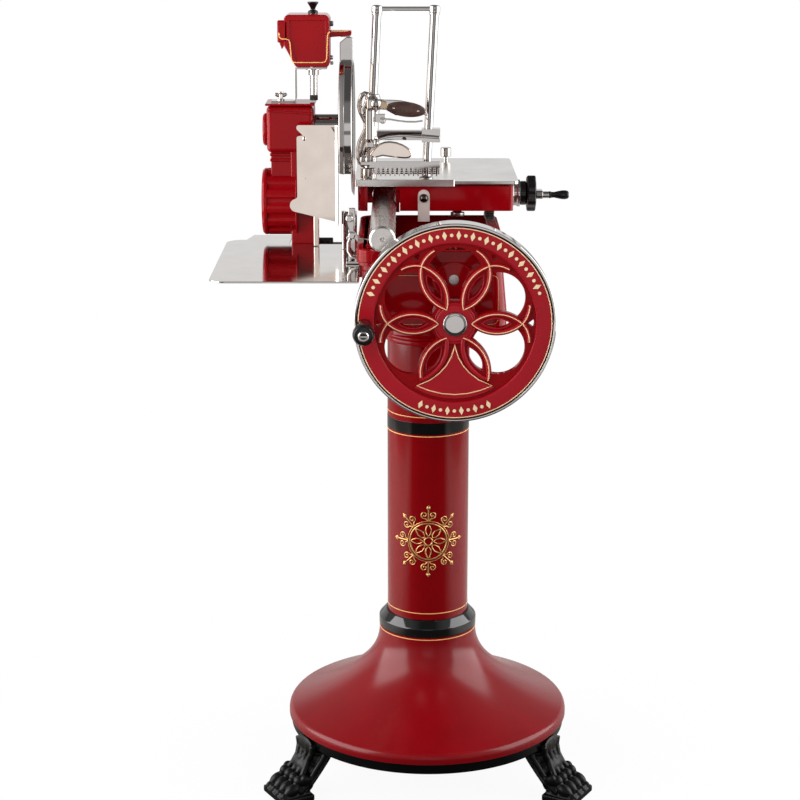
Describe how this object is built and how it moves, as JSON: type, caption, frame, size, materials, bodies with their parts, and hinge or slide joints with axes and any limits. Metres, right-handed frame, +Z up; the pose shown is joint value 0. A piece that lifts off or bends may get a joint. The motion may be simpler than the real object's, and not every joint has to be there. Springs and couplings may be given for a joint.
{
  "type": "hand crank meat slicer",
  "caption": "Pedestal meat slicer: a hand cranked flywheel drives a round vertical blade and a carriage with a clamp, on a round column with a bell base and paw feet.",
  "frame": {"origin": "middle of the footprint of the whole machine, on the floor", "axes": "+Z up, -Y towards the user who stands in front of the flywheel, -X towards the blade and the tray"},
  "size_m": [0.6794, 0.7726, 1.4283],
  "materials": {
    "red_enamel": "gloss",
    "black_enamel": "gloss",
    "cast_black": "satin",
    "chrome": "polished",
    "steel": "satin",
    "bronze": "satin",
    "black_plastic": "gloss",
    "brown_scale": "satin",
    "grey_stone": "matte"
  },
  "bodies": {
    "frame": {"paw_foot_left": "cast_black", "paw_foot_right": "cast_black", "paw_foot_rear": "cast_black", "base_ring": "black_enamel", "base_flare": "red_enamel", "column_collar": "black_enamel", "column_tube": "red_enamel", "column_top_plate": "red_enamel", "body_casting": "red_enamel", "side_rail": "steel", "guide_bar": "chrome", "drive_case": "red_enamel", "case_lid": "red_enamel", "case_upper_cap": "red_enamel", "case_side_cover": "red_enamel", "cross_shaft_sleeve": "black_plastic", "blade_shaft_housing": "chrome", "blade_guard": "chrome", "guard_post": "chrome", "deflector_plate": "chrome", "slice_tray": "chrome", "sharpener_box": "red_enamel", "sharpener_bracket": "chrome", "sharpener_collar": "chrome"},
    "flywheel": {"flywheel_casting": "red_enamel", "flywheel_rim": "chrome", "flywheel_hub_cap": "chrome", "crank_spindle": "steel", "wheel_shaft": "steel"},
    "crank_handle": {"crank_knob": "black_plastic"},
    "lay_drive": {"lay_shaft": "steel"},
    "cross_drive": {"cross_shaft": "steel"},
    "blade_rotor": {"blade": "chrome", "blade_shaft": "steel"},
    "carriage": {"carriage_housing": "red_enamel", "front_strap": "chrome", "strap_bolt": "cast_black", "drive_link": "steel", "feed_flange": "chrome"},
    "roller": {"guide_roller": "steel"},
    "table": {"table_plate": "steel", "table_knob": "chrome", "feed_nut": "bronze", "clamp_post_left": "chrome", "clamp_post_right": "chrome", "clamp_top_bar": "chrome"},
    "feed": {"feed_screw": "steel", "feed_handwheel": "black_plastic", "feed_crank": "chrome"},
    "feed_grip": {"feed_handle": "black_plastic"},
    "clamp": {"clamp_casting": "chrome", "grip_scale_front": "brown_scale", "grip_scale_back": "brown_scale", "press_bar": "chrome", "toothed_plate": "chrome"},
    "squeeze": {"squeeze_lever": "chrome"},
    "spoon": {"spoon_lever": "chrome"},
    "sharpener": {"sharpener_rod": "chrome", "sharpener_ferrule": "grey_stone", "sharpener_knob": "black_plastic"}
  },
  "joints": [
    {"name": "flywheel_spin", "type": "hinge", "parent": "frame", "child": "flywheel", "pos_m": [0.07727, -0.2787, 0.919], "axis": [0, 1, 0], "continuous": true},
    {"name": "crank_knob_spin", "type": "hinge", "parent": "flywheel", "child": "crank_handle", "pos_m": [-0.07621, -0.3387, 0.91632], "axis": [0, 1, 0], "continuous": true},
    {"name": "lay_shaft_spin", "type": "hinge", "parent": "frame", "child": "lay_drive", "pos_m": [0.07727, -0.0037, 0.979], "axis": [0, 1, 0], "continuous": true},
    {"name": "cross_shaft_spin", "type": "hinge", "parent": "frame", "child": "cross_drive", "pos_m": [-0.02412, 0.1113, 0.979], "axis": [1, 0, 0], "continuous": true},
    {"name": "blade_spin", "type": "hinge", "parent": "frame", "child": "blade_rotor", "pos_m": [-0.10112, 0.1113, 1.199], "axis": [1, 0, 0], "continuous": true},
    {"name": "carriage_slide", "type": "slide", "parent": "frame", "child": "carriage", "axis": [0, -1, 0], "range_m": [0, 0.26]},
    {"name": "roller_spin", "type": "hinge", "parent": "carriage", "child": "roller", "pos_m": [0.15127, 0.1063, 1.0556], "axis": [1, 0, 0], "range_deg": [-10, 1010]},
    {"name": "table_feed", "type": "slide", "parent": "carriage", "child": "table", "axis": [1, 0, 0], "range_m": [0, 0.15]},
    {"name": "feed_screw_spin", "type": "hinge", "parent": "carriage", "child": "feed", "pos_m": [0.13587, 0.2263, 1.063], "axis": [1, 0, 0], "range_deg": [-10, 10820]},
    {"name": "feed_grip_spin", "type": "hinge", "parent": "feed", "child": "feed_grip", "pos_m": [0.28388, 0.2023, 1.063], "axis": [1, 0, 0], "continuous": true},
    {"name": "clamp_slide", "type": "slide", "parent": "table", "child": "clamp", "axis": [0.0471, 0, 0.9989], "range_m": [0, 0.12]},
    {"name": "squeeze_lever_tilt", "type": "hinge", "parent": "clamp", "child": "squeeze", "pos_m": [-0.04738, 0.0763, 1.2112], "axis": [0, -1, 0], "range_deg": [0, 4], "stiffness_Nm_per_rad": 0.5, "springref_deg": -5.73},
    {"name": "spoon_lever_tilt", "type": "hinge", "parent": "clamp", "child": "spoon", "pos_m": [-0.06259, 0.0845, 1.1647], "axis": [0, -1, 0], "range_deg": [0, 18]},
    {"name": "sharpener_lift", "type": "slide", "parent": "frame", "child": "sharpener", "axis": [0, 0, 1], "range_m": [0, 0.012]}
  ],
  "couplings": [
    {"joint": "lay_shaft_spin", "follows": "flywheel_spin", "ratio": -0.42857},
    {"joint": "cross_shaft_spin", "follows": "flywheel_spin", "ratio": 0.42857},
    {"joint": "blade_spin", "follows": "flywheel_spin", "ratio": 1.7143},
    {"joint": "roller_spin", "follows": "carriage_slide", "rad_per_m": 66.667},
    {"joint": "feed_screw_spin", "follows": "table_feed", "rad_per_m": 1256.6}
  ]
}
